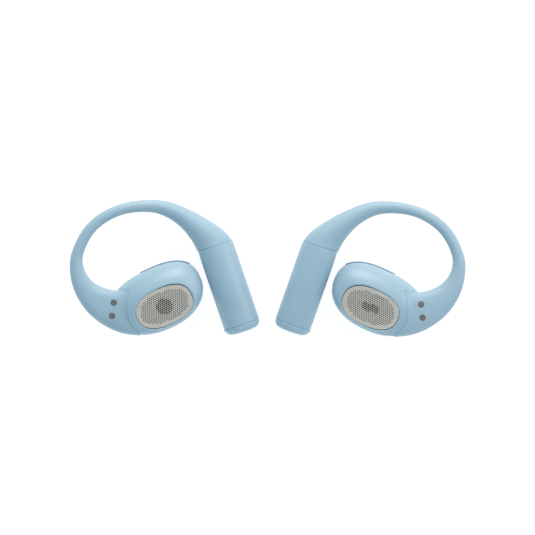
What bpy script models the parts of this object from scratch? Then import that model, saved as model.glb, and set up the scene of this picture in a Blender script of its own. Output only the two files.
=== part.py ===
# A pair of open-ear earphones with silicone ear hooks, lying on their outer faces.
# +Z is up and leaves the ear side showing, +Y is the top of the ear as worn, and the
# two earpieces mirror each other across X = 0. The left one, at +X, is modelled piece
# by piece, and the right one is its mirrored twin.
# Lengths are in millimetres and become metres as each mesh is made.

import math

import bmesh
import bpy
from mathutils import Matrix, Vector

MM = 0.001

# Driving dimensions
GAP = 0.2
WALL = 1.0
TRIM_GAP = 0.15

# Pod: the speaker's housing, in a frame turned so that +X points to the hook's base
POD_PLACE = (27.62, -10.53)
POD_TURN = -26.0
POD_SIDES = 32
PARTING_HEIGHT = 6.0
# centre x, y, z, half length, half width, exponent of the oval, tilt about the length
CUP_LEVELS = [
    (0.6, 2.6, 0.0, 9.0, 5.0, 2.1, 0.0),
    (0.8, 2.7, 0.5, 10.8, 6.4, 2.1, 0.0),
    (1.0, 2.75, 1.7, 12.3, 7.6, 2.2, 0.0),
    (1.1, 2.76, 3.6, 13.15, 8.3, 2.2, 0.0),
    (1.1, 2.76, PARTING_HEIGHT - GAP / 2, 13.4, 8.46, 2.2, 0.0),
]
COVER_LEVELS = [
    (1.1, 2.76, PARTING_HEIGHT + GAP / 2, 13.4, 8.46, 2.2, 0.0),
    (1.05, 2.6, 7.7, 13.2, 8.34, 2.2, 3.4),
    (0.9, 1.95, 9.45, 12.2, 7.73, 2.2, 8.5),
    (0.5, 1.1, 10.75, 10.3, 6.68, 2.25, 13.4),
    (0.13, 0.15, 11.3, 8.5, 5.7, 2.4, 17.2),
    (0.13, 0.19, 11.16, 8.17, 5.4, 2.4, 17.2),
]

# Driver and grille, in a frame on the grille's plane with +Z out of the pod
DRIVER_PLACE = (0.13, 0.15, 11.3)
DRIVER_TILT = 17.2
DRIVER_YAW = 2.2
DRIVER_EXPONENT = 2.4

# The base's front is a hollow cylinder round the grille
SEAM_CENTRE = (-1.5, 0.0)
SEAM_RADIUS = 11.8

# Hook: inner edge x, y, outer edge x, y, height and half depth, from pod to stem
HOOK_STATIONS = [
    (36.4, -5.6, 33.0, -18.0, 7.1, 3.9),
    (38.5, -5.9, 38.2, -17.85, 7.1, 3.75),
    (40.7, -6.25, 43.1, -16.25, 7.25, 3.4),
    (43.6, -5.7, 47.7, -13.05, 7.4, 2.95),
    (46.4, -4.4, 50.9, -8.9, 7.6, 2.5),
    (48.7, -2.1, 52.8, -4.45, 7.9, 2.05),
    (49.85, 1.0, 53.35, 0.05, 8.3, 1.8),
    (49.57, 4.2, 52.9, 4.2, 8.7, 1.66),
    (46.84, 9.42, 49.54, 10.98, 9.35, 1.56),
    (42.7, 12.69, 44.22, 15.32, 9.6, 1.55),
    (37.8, 14.7, 37.8, 17.77, 9.5, 1.58),
    (31.55, 15.03, 30.3, 18.4, 9.0, 1.9),
    (28.0, 14.03, 25.9, 17.7, 8.5, 2.3),
    (24.9, 12.2, 21.9, 16.1, 7.9, 2.85),
    (22.5, 10.0, 17.6, 14.0, 7.3, 3.5),
    (20.6, 7.6, 13.3, 11.1, 6.75, 4.15),
    (19.45, 6.1, 10.9, 9.3, 6.45, 4.5),
    (18.55, 4.72, 9.95, 7.68, 6.31, 4.55),
]
HOOK_SIDES = 14
HOOK_END = len(HOOK_STATIONS) - 1
FLEX_START = 8.4
FLEX_END = 9.6
FLEX_GAP = 0.03
BORE_RADIUS = 0.95
BASE_WALL = 1.15
SHOULDER_WALL = 2.6
HINGE_PLACE = (43.5, 14.0, 9.6)
WIRE_START = 2.6
WIRE_OFFSET = 0.45
WIRE_RADIUS = 0.35
CABLE_RADIUS = 0.3

# Stem: the battery's tube, in a frame at the seam with +Z back along it to the hook
STEM_PLACE = (14.25, 6.2, 6.31)
STEM_SWING = 19.0
STEM_LEAN = 3.5
STEM_RADIUS = 4.95
STEM_LENGTH = 22.4
STEM_WALL = 0.7
STEM_CAP_HEIGHT = 2.15
CELL_RADIUS = 3.9

# Key on the pod's top edge, from one angle of the pod's oval to the other
KEY_ANGLES = (88.0, 154.0)
KEY_HEIGHT = 5.3
KEY_HALF_DEPTH = 2.1
KEY_PROUD = 0.25
KEY_THICKNESS = 1.55
KEY_NORMAL = 108.0

# Charging contacts, on the hook's base
CONTACT_RADIUS = 0.9
CONTACT_UPPER = (41.5, -9.5)
CONTACT_LOWER = (41.95, -13.05)
CONTACT_TOP = 10.4
CONTACT_LENGTH = 2.0

COLOURS = {
    "blue_shell": ((0.36, 0.53, 0.64), 0.4, 0.0),
    "blue_silicone": ((0.3, 0.46, 0.58), 0.6, 0.0),
    "blue_key": ((0.17, 0.32, 0.44), 0.45, 0.0),
    "grey_grille": ((0.42, 0.43, 0.41), 0.4, 0.4),
    "black_cloth": ((0.03, 0.03, 0.03), 0.9, 0.0),
    "foam": ((0.06, 0.06, 0.06), 0.95, 0.0),
    "black_plastic": ((0.04, 0.04, 0.045), 0.5, 0.0),
    "film": ((0.6, 0.6, 0.55), 0.4, 0.0),
    "copper": ((0.7, 0.3, 0.15), 0.35, 1.0),
    "steel": ((0.5, 0.5, 0.52), 0.3, 1.0),
    "magnet": ((0.35, 0.35, 0.37), 0.25, 1.0),
    "green_board": ((0.02, 0.12, 0.06), 0.5, 0.0),
    "chip": ((0.02, 0.02, 0.02), 0.45, 0.0),
    "contact_metal": ((0.2, 0.19, 0.17), 0.35, 1.0),
    "cell_wrap": ((0.08, 0.2, 0.45), 0.4, 0.0),
    "wire": ((0.6, 0.58, 0.5), 0.3, 1.0),
    "cable": ((0.4, 0.04, 0.03), 0.5, 0.0),
}


# Scene and helpers


def clear_scene():
    for obj in list(bpy.data.objects):
        bpy.data.objects.remove(obj, do_unlink=True)


def new_collection(name):
    collection = bpy.data.collections.new(name)
    bpy.context.scene.collection.children.link(collection)
    return collection


def new_material(name):
    colour, roughness, metallic = COLOURS[name]
    material = bpy.data.materials.new(name)
    material.use_nodes = True
    shader = material.node_tree.nodes["Principled BSDF"]
    shader.inputs["Base Color"].default_value = (*colour, 1.0)
    shader.inputs["Roughness"].default_value = roughness
    shader.inputs["Metallic"].default_value = metallic
    return material


def new_frame(name, parent, place):
    empty = bpy.data.objects.new(name, None)
    parts.objects.link(empty)
    empty.parent = parent
    empty.matrix_basis = place
    return empty


def shifted(x, y, z=0.0):
    return Matrix.Translation(Vector((x, y, z)) * MM)


def turned(degrees, axis):
    return Matrix.Rotation(math.radians(degrees), 4, axis)


def world_of(frame):
    matrix = frame.matrix_basis.copy()
    while frame.parent:
        frame = frame.parent
        matrix = frame.matrix_basis @ matrix
    return matrix


def add_mesh(name, mesh, frame, colour, collection=None):
    obj = bpy.data.objects.new(name, mesh)
    (collection or parts).objects.link(obj)
    obj.parent = frame
    if colour:
        mesh.materials.append(materials[colour])
    mesh.shade_smooth()
    mesh.set_sharp_from_angle(angle=math.radians(35))
    return obj


def finish(bm, name):
    bmesh.ops.recalc_face_normals(bm, faces=bm.faces)
    mesh = bpy.data.meshes.new(name)
    bm.to_mesh(mesh)
    bm.free()
    return mesh


def oval(half_x, half_y, exponent, sides):
    points = []
    for k in range(sides):
        turn = 2 * math.pi * k / sides
        along = math.copysign(abs(math.cos(turn)) ** (2 / exponent), math.cos(turn))
        across = math.copysign(abs(math.sin(turn)) ** (2 / exponent), math.sin(turn))
        points.append(Vector((half_x * along, half_y * across, 0.0)))
    return points


def loft(name, rings, ring_shaped=False):
    """Skin a row of point rings, with a cap on each end unless the row closes on itself."""
    bm = bmesh.new()
    rows = [[bm.verts.new(point * MM) for point in ring] for ring in rings]
    sides = len(rows[0])
    pairs = list(zip(rows, rows[1:]))
    if ring_shaped:
        pairs.append((rows[-1], rows[0]))
    else:
        bm.faces.new(rows[0])
        bm.faces.new(rows[-1])
    for low, high in pairs:
        for k in range(sides):
            bm.faces.new((low[k - 1], low[k], high[k], high[k - 1]))
    return finish(bm, name)


def oval_stack(name, levels, exponent=DRIVER_EXPONENT, sides=24):
    """A solid from ovals given as half length, half width and height."""
    rings = []
    for half_x, half_y, z in levels:
        rings.append([p + Vector((0, 0, z)) for p in oval(half_x, half_y, exponent, sides)])
    return loft(name, rings)


def oval_band(name, outer, inner, bottom, top, sides=24):
    """A ring with an oval outside and an oval hole."""
    rings = []
    for (half_x, half_y), z in ((outer, bottom), (outer, top), (inner, top), (inner, bottom)):
        rings.append([p + Vector((0, 0, z)) for p in oval(half_x, half_y, DRIVER_EXPONENT, sides)])
    return loft(name, rings, ring_shaped=True)


def box(name, size, place):
    bm = bmesh.new()
    bmesh.ops.create_cube(bm, size=1.0)
    bmesh.ops.scale(bm, vec=Vector(size) * MM, verts=bm.verts)
    bmesh.ops.transform(bm, matrix=place, verts=bm.verts)
    return finish(bm, name)


def drum(name, radius, bottom, top, x=0.0, y=0.0, sides=20):
    bm = bmesh.new()
    bmesh.ops.create_cone(
        bm, cap_ends=True, segments=sides, radius1=radius * MM, radius2=radius * MM,
        depth=(top - bottom) * MM, matrix=shifted(x, y, (top + bottom) / 2),
    )
    return finish(bm, name)


def turned_solid(name, profile, frame, colour, steps=28):
    """A Screw solid. The profile runs down its outer side, in radius and height."""
    bm = bmesh.new()
    points = [bm.verts.new(Vector((radius, 0.0, z)) * MM) for radius, z in profile]
    for first, second in zip(points, points[1:]):
        bm.edges.new((first, second))
    if profile[0][0] > 0:
        bm.edges.new((points[-1], points[0]))
    mesh = bpy.data.meshes.new(name)
    bm.to_mesh(mesh)
    bm.free()
    obj = add_mesh(name, mesh, frame, colour)
    screw = obj.modifiers.new("Turn", "SCREW")
    screw.steps = steps
    screw.render_steps = steps
    screw.use_merge_vertices = True
    screw.merge_threshold = 0.00001
    return obj


def cut(obj, cutter):
    """Subtract the cutter, and keep the result as the object's own mesh."""
    boolean = obj.modifiers.new("Cut", "BOOLEAN")
    boolean.operation = "DIFFERENCE"
    boolean.solver = "EXACT"
    boolean.object = cutter
    bpy.context.view_layer.update()
    bake(obj)


def bake(obj):
    graph = bpy.context.evaluated_depsgraph_get()
    mesh = bpy.data.meshes.new_from_object(obj.evaluated_get(graph))
    obj.modifiers.clear()
    obj.data = mesh


def add_cutter(name, mesh, frame):
    obj = add_mesh(name, mesh, frame, None, cutters)
    obj.hide_render = True
    obj.display_type = "WIRE"
    return obj


# Shapes that several pieces share


def pod_ring(level, inset=0.0, drop=0.0):
    x, y, z, half_x, half_y, exponent, tilt = level
    place = (
        Matrix.Translation((x, y, z))
        @ turned(tilt, "X")
        @ Matrix.Translation((0, 0, -drop))
    )
    return [place @ p for p in oval(half_x - inset, half_y - inset, exponent, POD_SIDES)]


def pod_edge(degrees, outward, height):
    """A point beside the pod's widest oval, moved out along the oval's own normal."""
    x, y, _, half_x, half_y, exponent, _ = CUP_LEVELS[-1]
    turn = math.radians(degrees)
    along = math.copysign(abs(math.cos(turn)) ** (2 / exponent), math.cos(turn))
    across = math.copysign(abs(math.sin(turn)) ** (2 / exponent), math.sin(turn))
    normal = Vector((
        math.copysign(abs(along) ** (exponent - 1), along) / half_x,
        math.copysign(abs(across) ** (exponent - 1), across) / half_y,
        0.0,
    )).normalized()
    return Vector((x + half_x * along, y + half_y * across, height)) + normal * outward


def hook_station(t):
    """The hook's station at t, smooth through its neighbours (Catmull-Rom)."""
    index = min(int(t), HOOK_END - 1)
    u = t - index
    near = [HOOK_STATIONS[min(max(index + k, 0), HOOK_END)] for k in (-1, 0, 1, 2)]
    values = []
    for a, b, c, d in zip(*near):
        values.append(
            b + 0.5 * u * (c - a + u * (2 * a - 5 * b + 4 * c - d + u * (3 * (b - c) + d - a)))
        )
    return values


def hook_axes(t):
    """The hook's centre, its inner-to-outer direction, its depth direction and half sizes."""
    inner_x, inner_y, outer_x, outer_y, z, half_depth = hook_station(t)
    inner = Vector((inner_x, inner_y, z))
    outer = Vector((outer_x, outer_y, z))
    across = (outer - inner).normalized()
    lean = STEM_LEAN * max(0.0, 1 - (HOOK_END - t) / 3)
    depth = Matrix.Rotation(math.radians(-lean), 3, across) @ Vector((0, 0, 1))
    return (inner + outer) / 2, across, depth, (outer - inner).length / 2, half_depth


def hook_ring(t, grow_inner=0.0, grow_outer=0.0, grow_depth=0.0):
    centre, across, depth, half_width, half_depth = hook_axes(t)
    centre = centre + across * (grow_outer - grow_inner) / 2
    half_width += (grow_outer + grow_inner) / 2
    exponent = 2.0 + 0.5 * min(max((6 - t) / 3, 0.0), 1.0)
    points = oval(half_width, half_depth + grow_depth, exponent, HOOK_SIDES)
    return [centre + across * p.x + depth * p.y for p in points]


def bore_ring(t):
    centre, across, depth, half_width, half_depth = hook_axes(t)
    wall = BASE_WALL if t < HOOK_END / 2 else SHOULDER_WALL
    half_x = max(BORE_RADIUS, half_width - wall)
    half_y = max(BORE_RADIUS, half_depth - wall)
    return [centre + across * p.x + depth * p.y for p in oval(half_x, half_y, 2.0, HOOK_SIDES)]


def in_frame(rings, frame):
    """Rings given in the earpiece's own space, moved into a frame that isn't turned."""
    origin = world_of(frame).to_translation() / MM
    return [[point - origin for point in ring] for ring in rings]


def hook_sleeve(name, start, end, steps, frame):
    """A stretch of the hook with its bore."""
    stops = [start + (end - start) * k / steps for k in range(steps + 1)]
    rings = [hook_ring(t) for t in stops] + [bore_ring(t) for t in reversed(stops)]
    return loft(name, in_frame(rings, frame), ring_shaped=True)


def key_block(name, grow, behind, end_grow):
    """The key's shape, or with growth its pocket."""
    first, last = KEY_ANGLES
    first -= end_grow
    last += end_grow
    steps = 10
    rings = []
    for k in range(steps + 1):
        angle = first + (last - first) * k / steps
        end = k in (0, steps)
        half = (KEY_HALF_DEPTH - (0.8 if end else 0.0)) + grow
        front = KEY_PROUD + 4 * grow
        back = KEY_PROUD - KEY_THICKNESS - behind
        soft = 0.25
        ring = [
            pod_edge(angle, front - soft, KEY_HEIGHT - half),
            pod_edge(angle, front, KEY_HEIGHT - half + soft),
            pod_edge(angle, front, KEY_HEIGHT + half - soft),
            pod_edge(angle, front - soft, KEY_HEIGHT + half),
            pod_edge(angle, back, KEY_HEIGHT + half),
            pod_edge(angle, back, KEY_HEIGHT - half),
        ]
        rings.append(ring)
    return loft(name, rings)


# Pod


def make_shells(pod):
    floor = WALL
    outer_rings = [pod_ring(level) for level in CUP_LEVELS]
    inner_rings = []
    top = CUP_LEVELS[-1][2]
    for x, y, z, half_x, half_y, exponent, tilt in reversed(CUP_LEVELS):
        raised = floor + z * (top - floor) / top
        inner_rings.append(pod_ring((x, y, raised, half_x, half_y, exponent, tilt), inset=WALL))
    outer = add_mesh("left_outer_shell", loft("outer_shell", outer_rings + inner_rings), pod, "blue_shell")

    outside = [pod_ring(level) for level in COVER_LEVELS]
    inside = [pod_ring(COVER_LEVELS[-1], drop=WALL)]
    walls = COVER_LEVELS[:-2]
    for k in reversed(range(len(walls))):
        inside.append(pod_ring(walls[k], inset=WALL, drop=WALL * k / len(walls)))
    cover = loft("inner_shell", outside + inside, ring_shaped=True)
    return outer, add_mesh("left_inner_shell", cover, pod, "blue_shell")


def make_hook_base(earpiece, hinge, pod, inner_shell):
    sleeve = hook_sleeve("hook_base", 0.0, FLEX_START - FLEX_GAP, 14, hinge)
    base = add_mesh("left_hook_base", sleeve, hinge, "blue_silicone")

    front = drum("seam_drum", SEAM_RADIUS + GAP / 2, -2.0, 20.0, *SEAM_CENTRE, sides=40)
    cut(base, add_cutter("seam_cutter", front, pod))

    cup_rings = []
    for level in CUP_LEVELS[1:]:
        cup_rings.append(pod_ring(level, inset=-GAP))
    x, y, _, half_x, half_y, exponent, tilt = CUP_LEVELS[-1]
    lid = (x, y, PARTING_HEIGHT + GAP, half_x, half_y, exponent, tilt)
    cup_rings.append(pod_ring(lid, inset=-GAP))
    cut(base, add_cutter("cup_cutter", loft("cup_cutter", cup_rings), pod))

    stops = [0.25 * k for k in range(17)]
    tall = [hook_ring(t, grow_inner=TRIM_GAP, grow_outer=1.0, grow_depth=2.0) for t in stops]
    block = add_cutter("base_cutter", loft("base_cutter", tall), earpiece)
    narrow = drum("cover_drum", SEAM_RADIUS - GAP / 2, -2.0, 20.0, *SEAM_CENTRE, sides=40)
    cut(block, add_cutter("cover_cutter", narrow, pod))
    cut(inner_shell, block)
    return base


def make_contacts(earpiece, base):
    places = {"upper": CONTACT_UPPER, "lower": CONTACT_LOWER}
    for name, (x, y) in places.items():
        hole = drum("contact_hole", CONTACT_RADIUS + TRIM_GAP, 8.0, 14.0, x, y)
        cut(base, add_cutter(f"{name}_contact_cutter", hole, earpiece))
        pin = drum("contact", CONTACT_RADIUS, CONTACT_TOP - CONTACT_LENGTH, CONTACT_TOP, x, y)
        add_in_pod(f"left_charging_contact_{name}", pin, "contact_metal")
    upper = Vector(CONTACT_UPPER)
    lower = Vector(CONTACT_LOWER)
    middle = (upper + lower) / 2
    run = upper - lower
    turn = math.degrees(math.atan2(run.y, run.x)) - 90
    place = shifted(middle.x, middle.y, 7.95) @ turned(turn, "Z")
    add_in_pod("left_contact_board", box("contact_board", (2.6, 6.4, 0.5), place), "green_board")


def add_in_pod(name, mesh, colour):
    """A mesh given in the earpiece's own space, kept there but carried by the pod's frame."""
    mesh.transform(world_of(frames["pod"]).inverted())
    return add_mesh(name, mesh, frames["pod"], colour)


def make_speaker(driver):
    grille = [(7.99, 5.22, -0.55), (7.99, 5.22, -0.15), (7.7, 4.95, 0.0), (4.2, 2.6, 0.12)]
    add_mesh("left_speaker_grille", oval_stack("grille", grille, sides=36), driver, "grey_grille")
    cloth = [(7.6, 4.85, -1.0), (7.6, 4.85, -0.85)]
    add_mesh("left_acoustic_mesh", oval_stack("cloth", cloth), driver, "black_cloth")
    gasket = oval_band("gasket", (7.5, 4.7), (6.5, 3.8), -1.95, -1.3)
    add_mesh("left_speaker_gasket", gasket, driver, "foam")
    basket = oval_band("basket", (7.4, 4.6), (6.7, 3.9), -4.9, -2.25)
    add_mesh("left_speaker_basket", basket, driver, "black_plastic")
    membrane = [(6.4, 3.6, -2.75), (6.4, 3.6, -2.6), (3.8, 2.0, -2.4)]
    add_mesh("left_speaker_diaphragm", oval_stack("membrane", membrane), driver, "film")
    coil = oval_band("coil", (3.6, 1.9), (3.1, 1.45), -4.4, -3.05)
    add_mesh("left_voice_coil", coil, driver, "copper")
    magnet = [(2.75, 1.1, -4.9), (2.75, 1.1, -3.3)]
    add_mesh("left_speaker_magnet", oval_stack("magnet", magnet), driver, "magnet")
    yoke = [(6.3, 3.5, -6.0), (6.3, 3.5, -5.2)]
    add_mesh("left_speaker_yoke", oval_stack("yoke", yoke), driver, "steel")


def make_electronics(pod):
    board_rings = [pod_ring((0.8, 2.7, z, 9.5, 5.6, 2.2, 0.0)) for z in (2.3, 3.1)]
    add_mesh("left_main_board", loft("main_board", board_rings), pod, "green_board")
    film_rings = [pod_ring((0.6, 2.6, z, 7.0, 3.2, 2.2, 0.0)) for z in (1.3, 1.5)]
    add_mesh("left_antenna", loft("antenna", film_rings), pod, "copper")
    chip = box("main_chip", (5.0, 4.0, 0.7), shifted(-1.5, 4.0, 3.75))
    add_mesh("left_main_chip", chip, pod, "chip")
    microphone = box("microphone", (3.0, 2.0, 0.9), shifted(-7.2, 2.0, 3.85))
    add_mesh("left_microphone", microphone, pod, "steel")
    add_mesh("left_case_magnet", drum("case_magnet", 2.5, 3.5, 5.3, 10.0, 3.0), pod, "magnet")
    middle = sum(KEY_ANGLES) / 2
    depth = 1.6
    clearance = 0.65
    seat = pod_edge(middle, KEY_PROUD - KEY_THICKNESS - clearance - depth / 2, KEY_HEIGHT)
    place = shifted(*seat) @ turned(KEY_NORMAL - 90, "Z")
    add_mesh("left_key_switch", box("key_switch", (4.0, depth, 2.6), place), pod, "steel")


def make_key(pod, key_frame, shells):
    pocket = add_cutter("key_pocket", key_block("key_pocket", TRIM_GAP, 1.0, 1.6), pod)
    for shell in shells:
        cut(shell, pocket)
    key = key_block("control_key", 0.0, 0.0, 0.0)
    key.transform(key_frame.matrix_basis.inverted())
    add_mesh("left_control_key", key, key_frame, "blue_key")


# Hook


def make_flex(hinge):
    sleeve = hook_sleeve("hook_flex", FLEX_START, FLEX_END, 3, hinge)
    add_mesh("left_hook_flex", sleeve, hinge, "blue_silicone")


def make_shoulder(earpiece):
    sleeve = hook_sleeve("hook_shoulder", FLEX_END + FLEX_GAP, HOOK_END, 12, earpiece)
    add_mesh("left_hook_shoulder", sleeve, earpiece, "blue_silicone")


def make_wire(name, offset, radius, colour, hinge):
    """A wire through the hook's bore, from inside the base to just inside the stem."""
    count = 20
    curve = bpy.data.curves.new(name, "CURVE")
    curve.dimensions = "3D"
    curve.bevel_depth = radius * MM
    curve.bevel_resolution = 2
    curve.use_fill_caps = True
    spline = curve.splines.new("POLY")
    spline.points.add(count)
    points = []
    for k in range(count):
        t = WIRE_START + (HOOK_END - WIRE_START) * k / (count - 1)
        centre, across, _, _, _ = hook_axes(t)
        points.append(centre + across * offset)
    stem_top = Vector((-offset, 0.0, -0.9))
    points.append(world_of(frames["stem"]).to_3x3() @ stem_top + Vector(STEM_PLACE))
    for item, point in zip(spline.points, in_frame([points], hinge)[0]):
        item.co = (*(point * MM), 1.0)
    obj = bpy.data.objects.new(name, curve)
    parts.objects.link(obj)
    obj.parent = hinge
    bpy.context.view_layer.update()
    graph = bpy.context.evaluated_depsgraph_get()
    mesh = bpy.data.meshes.new_from_object(obj.evaluated_get(graph))
    bpy.data.objects.remove(obj, do_unlink=True)
    bm = bmesh.new()
    bm.from_mesh(mesh)
    bmesh.ops.remove_doubles(bm, verts=bm.verts, dist=0.000001)
    bm.to_mesh(mesh)
    bm.free()
    add_mesh(name, mesh, hinge, colour)


# Stem


def make_stem(stem):
    top = -GAP
    bottom = -STEM_LENGTH
    inner = STEM_RADIUS - STEM_WALL
    housing = [
        (inner, top), (STEM_RADIUS - 0.25, top), (STEM_RADIUS, top - 0.3), (STEM_RADIUS, bottom),
        (inner, bottom),
    ]
    turned_solid("left_stem_housing", housing, stem, "blue_shell")
    cap_top = bottom - GAP
    cap_end = cap_top - STEM_CAP_HEIGHT
    spigot = inner - GAP
    cap = [
        (0.0, cap_top + 1.2), (spigot, cap_top + 1.2), (spigot, cap_top), (STEM_RADIUS - 0.1, cap_top),
        (STEM_RADIUS - 0.25, cap_top - 0.4), (STEM_RADIUS - 0.6, cap_top - 0.95),
        (STEM_RADIUS - 1.15, cap_top - 1.5), (STEM_RADIUS - 1.9, cap_top - 1.85),
        (STEM_RADIUS - 3.0, cap_end + 0.12), (0.0, cap_end),
    ]
    turned_solid("left_stem_cap", cap, stem, "blue_shell")
    add_mesh("left_battery_cell", drum("cell", CELL_RADIUS, -20.6, -2.6, sides=24), stem, "cell_wrap")
    add_mesh("left_battery_board", drum("board", 3.7, -2.1, -1.4, sides=24), stem, "green_board")


# Mirrored twin


def bake_and_mirror(left_side, right_side):
    """Give every left object and frame a right twin that shares its mesh."""
    twins = {left_side: right_side}
    for obj in list(parts.objects):
        if obj in (left_side, right_side):
            continue
        if obj.modifiers:
            bake(obj)
        twin = obj.copy()
        twin.name = obj.name.replace("left_", "right_")
        parts.objects.link(twin)
        twins[obj] = twin
    for original, twin in twins.items():
        if original.parent:
            twin.parent = twins[original.parent]


clear_scene()
parts = new_collection("ear_hook_earphones")
cutters = new_collection("cutters")
materials = {name: new_material(name) for name in COLOURS}

left_side = new_frame("left_side", None, Matrix.Identity(4))
right_side = new_frame("right_side", None, Matrix.Scale(-1, 4, (1, 0, 0)))
hinge_frame = new_frame("left_hinge", left_side, shifted(*HINGE_PLACE))
pod_place = shifted(*POD_PLACE) @ turned(POD_TURN, "Z")
pod_frame = new_frame("left_pod", hinge_frame, hinge_frame.matrix_basis.inverted() @ pod_place)
driver_place = shifted(*DRIVER_PLACE) @ turned(DRIVER_YAW, "Z") @ turned(DRIVER_TILT, "X")
driver_frame = new_frame("left_driver", pod_frame, driver_place)
key_seat = pod_edge(sum(KEY_ANGLES) / 2, 0.0, KEY_HEIGHT)
key_frame = new_frame("left_key", pod_frame, shifted(*key_seat) @ turned(KEY_NORMAL - 90, "Z"))
stem_turn = turned(-STEM_SWING, "Z") @ turned(STEM_LEAN - 90, "X")
stem_frame = new_frame("left_stem", left_side, shifted(*STEM_PLACE) @ stem_turn)
frames = {"pod": pod_frame, "stem": stem_frame}
bpy.context.view_layer.update()

outer_shell, inner_shell = make_shells(pod_frame)
hook_base = make_hook_base(left_side, hinge_frame, pod_frame, inner_shell)
make_contacts(left_side, hook_base)
make_speaker(driver_frame)
make_electronics(pod_frame)
make_key(pod_frame, key_frame, (outer_shell, inner_shell))
make_flex(hinge_frame)
make_shoulder(left_side)
make_wire("left_memory_wire", WIRE_OFFSET, WIRE_RADIUS, "wire", hinge_frame)
make_wire("left_hook_cable", -WIRE_OFFSET, CABLE_RADIUS, "cable", hinge_frame)
make_stem(stem_frame)
bake_and_mirror(left_side, right_side)
bpy.context.view_layer.update()
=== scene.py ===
import math

import bmesh
import bpy
from mathutils import Matrix, Vector
from mathutils.bvhtree import BVHTree


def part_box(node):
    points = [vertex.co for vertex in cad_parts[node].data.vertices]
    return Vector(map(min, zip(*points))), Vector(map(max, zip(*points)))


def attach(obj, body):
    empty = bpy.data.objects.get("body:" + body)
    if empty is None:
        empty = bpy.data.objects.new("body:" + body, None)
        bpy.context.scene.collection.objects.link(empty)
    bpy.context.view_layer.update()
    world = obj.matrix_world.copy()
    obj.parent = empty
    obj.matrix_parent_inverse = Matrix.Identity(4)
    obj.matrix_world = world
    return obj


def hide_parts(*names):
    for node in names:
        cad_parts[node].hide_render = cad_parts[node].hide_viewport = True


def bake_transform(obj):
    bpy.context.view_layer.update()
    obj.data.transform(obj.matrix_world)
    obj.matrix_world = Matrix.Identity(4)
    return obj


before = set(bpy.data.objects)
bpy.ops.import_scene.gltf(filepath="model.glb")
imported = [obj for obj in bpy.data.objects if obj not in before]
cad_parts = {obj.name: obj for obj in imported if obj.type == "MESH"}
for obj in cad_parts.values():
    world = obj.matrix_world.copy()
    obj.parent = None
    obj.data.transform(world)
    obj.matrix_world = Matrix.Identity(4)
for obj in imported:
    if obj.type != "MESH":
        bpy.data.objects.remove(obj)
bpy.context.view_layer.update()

mm = 0.001       # sizes in the pieces' dictionaries are in millimetres
sides = ("left", "right")


def at(x, y, z=0.0):
    return Matrix.Translation(Vector((x, y, z)) * mm)


def turned(degrees, axis):
    return Matrix.Rotation(math.radians(degrees), 4, axis)


def middleOf(node):
    low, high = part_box(node)
    return (low + high) / 2


def smoothRow(rows, t):
    # one row at t, smooth through its neighbours
    last = len(rows) - 1
    index = min(int(t + 0.000001), last - 1)
    u = t - index
    near = [rows[min(max(index + k, 0), last)] for k in (-1, 0, 1, 2)]
    row = []
    for a, b, c, d in zip(*near):
        row.append(b + 0.5 * u * (c - a + u * (2 * a - 5 * b + 4 * c - d + u * (3 * (b - c) + d - a))))
    return row


def ovalPoint(turn, halfX, halfY, power, egg=0.0, bow=0.0):
    # egg narrows one end, bow lifts both ends, the one with positive x less
    x = math.copysign(abs(math.cos(turn)) ** (2 / power), math.cos(turn))
    y = math.copysign(abs(math.sin(turn)) ** (2 / power), math.sin(turn))
    lift = bow * x * x * (pod["bowShare"] if x > 0 else 1.0)
    return Vector((halfX * x, halfY * y * (1 + egg * x) + lift, 0.0))


def ovalPoints(halfX, halfY, power, count, egg=0.0, bow=0.0):
    return [ovalPoint(2 * math.pi * k / count, halfX, halfY, power, egg, bow) for k in range(count)]


def followRing(bm, ring, points):
    # extrudes an open ring of edges and moves the new ring to these points
    edges = [bm.edges.get((ring[k - 1], ring[k])) for k in range(len(ring))]
    made = bmesh.ops.extrude_edge_only(bm, edges=edges)["geom"]
    fresh = {item for item in made if isinstance(item, bmesh.types.BMVert)}
    following = []
    for vert, point in zip(ring, points):
        partner = next(e.other_vert(vert) for e in vert.link_edges if e.other_vert(vert) in fresh)
        partner.co = point
        following.append(partner)
    return following


def ringEdges(bm, ring):
    return [bm.edges.get((ring[k - 1], ring[k])) for k in range(len(ring))]


def growRings(name, rings, joined=False, place=None):
    # a skin over rings of points in millimetres, capped, or joined end to start
    bm = bmesh.new()
    made = bmesh.ops.create_circle(bm, segments=len(rings[0]), radius=1.0, cap_ends=not joined)
    first = made["verts"]
    for vert, point in zip(first, rings[0]):
        vert.co = point
    last = first
    for points in rings[1:]:
        last = followRing(bm, last, points)
    if joined:
        bmesh.ops.bridge_loops(bm, edges=ringEdges(bm, first) + ringEdges(bm, last))
    else:
        bmesh.ops.edgeloop_fill(bm, edges=ringEdges(bm, last))
    return finished(bm, name, place)


def finished(bm, name, place=None):
    bmesh.ops.scale(bm, vec=(mm, mm, mm), verts=bm.verts)
    if place:
        bmesh.ops.transform(bm, matrix=place, verts=bm.verts)
    bmesh.ops.recalc_face_normals(bm, faces=bm.faces)
    mesh = bpy.data.meshes.new(name)
    bm.to_mesh(mesh)
    bm.free()
    return addPiece(name, mesh)


def addPiece(name, mesh):
    piece = bpy.data.objects.new(name, mesh)
    bpy.context.scene.collection.objects.link(piece)
    smoothShade(piece)
    return piece


def smoothShade(piece, angle=32):
    piece.data.shade_smooth()
    piece.data.set_sharp_from_angle(angle=math.radians(angle))


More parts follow.
